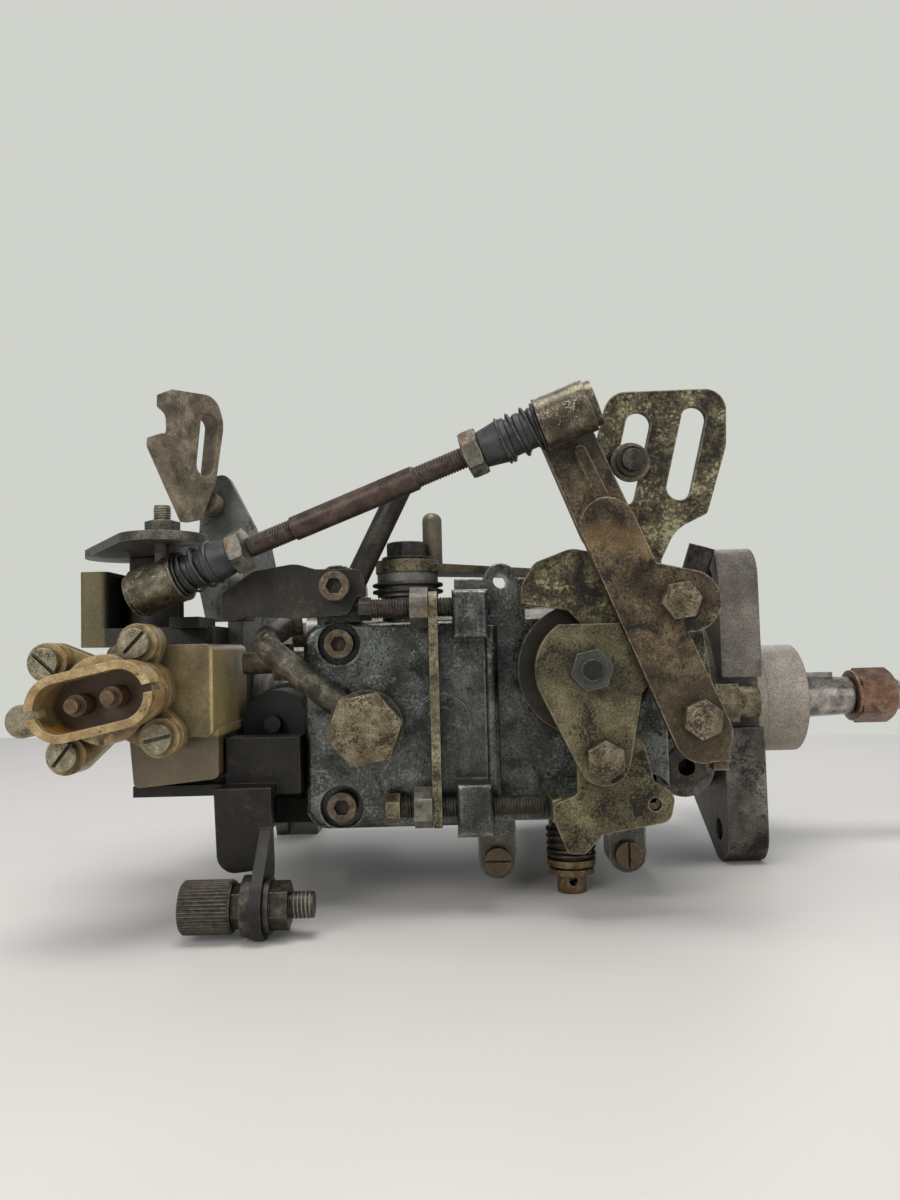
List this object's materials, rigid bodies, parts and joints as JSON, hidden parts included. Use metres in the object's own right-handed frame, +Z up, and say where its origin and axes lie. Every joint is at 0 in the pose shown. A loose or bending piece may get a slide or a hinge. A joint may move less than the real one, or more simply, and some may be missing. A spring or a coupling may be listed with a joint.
{
  "type": "diesel injection pump",
  "caption": "Distributor-type diesel injection pump with mounting flange, keyed drive shaft, governor cover, throttle levers, load sensor link and rear bracket.",
  "frame": {"origin": "where the drive shaft's axis meets the mounting flange's front face", "axes": "+X out along the drive shaft; +Z up; the governor cover and levers face -Y"},
  "size_m": [0.3366, 0.209, 0.2006],
  "materials": {
    "casting": "sand-cast, dull and stained",
    "head_steel": "machined, dull",
    "hardened_steel": "ground",
    "plated_steel": "worn yellow zinc plating",
    "dark_steel": "worn dark paint",
    "fastener_steel": "lightly rusted",
    "spring_steel": "dark oiled",
    "cover_aluminium": "cast, dull",
    "bronze": "machined",
    "seal_rubber": "matt",
    "black_plastic": "matt",
    "socket_brass": "tarnished",
    "amber_plastic": "aged, oily",
    "nylon": "aged",
    "pin_plastic": "translucent brown"
  },
  "bodies": {
    "pump": {"adjuster_screw": "plated_steel", "bracket_arm": "dark_steel", "cable_hook": "dark_steel", "connector_pins": "pin_plastic", "connector_shell": "nylon", "distributor_barrel": "hardened_steel", "distributor_head": "head_steel", "feed_pump_plate": "hardened_steel", "feed_pump_ring": "hardened_steel", "flange_plug": "fastener_steel", "full_load_screw": "fastener_steel", "governor_cover": "casting", "governor_shaft": "hardened_steel", "head_fittings": "fastener_steel", "inlet_union": "bronze", "inner_springs": "spring_steel", "lever_pivot_screws": "fastener_steel", "pressure_fitting": "fastener_steel", "pump_housing": "casting", "rear_bracket": "dark_steel", "return_banjo_bolt": "fastener_steel", "return_pipe": "fastener_steel", "sensor_body": "cover_aluminium", "sensor_housing": "amber_plastic", "shaft_bush": "bronze", "shaft_seal": "seal_rubber", "slotted_screws": "fastener_steel", "socket_screws": "fastener_steel", "stop_screw_locknuts": "fastener_steel", "stop_screw_plate": "plated_steel", "stop_screws": "fastener_steel", "stop_solenoid": "black_plastic", "support_bracket": "dark_steel", "timing_covers": "cover_aluminium", "vent_pipe": "cover_aluminium"},
    "drive": {"drive_shaft": "hardened_steel", "shaft_nut": "hardened_steel", "feed_pump_rotor": "hardened_steel", "governor_drive_gear": "hardened_steel", "cross_coupling": "hardened_steel"},
    "cam": {"cam_plate": "hardened_steel", "plunger": "hardened_steel"},
    "governor_rotor": {"governor_cage": "hardened_steel", "flyweights": "hardened_steel"},
    "sleeve": {"governor_sleeve": "hardened_steel"},
    "regulating_lever": {"governor_lever": "hardened_steel"},
    "collar": {"control_collar": "hardened_steel"},
    "timing": {"timing_piston": "hardened_steel"},
    "ring": {"roller_ring": "hardened_steel"},
    "throttle": {"throttle_shaft": "plated_steel", "control_lever": "plated_steel", "stop_lever_plate": "plated_steel", "slotted_quadrant": "plated_steel", "long_lever": "plated_steel", "lever_bolts": "plated_steel", "return_spring": "spring_steel"},
    "link": {"link_rod": "plated_steel", "ball_sockets": "socket_brass"},
    "sensor_crank": {"sensor_lever": "dark_steel"},
    "cold_start": {"cold_start_lever": "plated_steel"}
  },
  "joints": [
    {"name": "shaft_turn", "type": "hinge", "parent": "pump", "child": "drive", "pos_m": [0, 0, 0], "axis": [1, 0, 0], "continuous": true},
    {"name": "plunger_stroke", "type": "slide", "parent": "drive", "child": "cam", "axis": [1, 0, 0], "range_m": [0, 0.0022]},
    {"name": "governor_turn", "type": "hinge", "parent": "pump", "child": "governor_rotor", "pos_m": [-0.058, -0.053, 0], "axis": [1, 0, 0], "continuous": true},
    {"name": "sleeve_slide", "type": "slide", "parent": "pump", "child": "sleeve", "axis": [-1, 0, 0], "range_m": [0, 0.0015], "stiffness_N_per_m": 2000, "springref_m": -0.001},
    {"name": "governor_lever_tilt", "type": "hinge", "parent": "pump", "child": "regulating_lever", "pos_m": [-0.107, -0.032, 0], "axis": [0, 0, -1], "range_deg": [0, 4.2]},
    {"name": "collar_slide", "type": "slide", "parent": "pump", "child": "collar", "axis": [1, 0, 0], "range_m": [0, 0.0016]},
    {"name": "timing_slide", "type": "slide", "parent": "pump", "child": "timing", "axis": [0, 0, 1], "range_m": [0, 0.005], "stiffness_N_per_m": 3000, "springref_m": -0.002},
    {"name": "roller_ring_turn", "type": "hinge", "parent": "pump", "child": "ring", "pos_m": [-0.075, 0, 0], "axis": [1, 0, 0], "range_deg": [0, 5.8]},
    {"name": "throttle_turn", "type": "hinge", "parent": "pump", "child": "throttle", "pos_m": [-0.0798, -0.11, 0.0175], "axis": [0, -1, 0], "range_deg": [0, 24], "stiffness_Nm_per_rad": 0.5, "springref_deg": -20.05},
    {"name": "link_swing", "type": "hinge", "parent": "throttle", "child": "link", "pos_m": [-0.0867, -0.128, 0.0963], "axis": [0, -1, 0], "range_deg": [-28, 0]},
    {"name": "sensor_lever_turn", "type": "hinge", "parent": "pump", "child": "sensor_crank", "pos_m": [-0.2376, -0.0554, 0.0645], "axis": [0, 0, -1], "range_deg": [0, 42]},
    {"name": "cold_start_turn", "type": "hinge", "parent": "pump", "child": "cold_start", "pos_m": [-0.1388, -0.075, 0.05], "axis": [0, 0, 1], "range_deg": [0, 40], "stiffness_Nm_per_rad": 0.2, "springref_deg": -17.19}
  ],
  "couplings": [
    {"joint": "governor_turn", "follows": "shaft_turn", "ratio": -1.5238},
    {"joint": "governor_lever_tilt", "follows": "sleeve_slide", "rad_per_m": 47.62},
    {"joint": "collar_slide", "follows": "sleeve_slide", "ratio": 1.048},
    {"joint": "roller_ring_turn", "follows": "timing_slide", "rad_per_m": 20},
    {"joint": "link_swing", "follows": "throttle_turn", "ratio": -1.1488},
    {"joint": "sensor_lever_turn", "follows": "throttle_turn", "ratio": 1.7384}
  ]
}
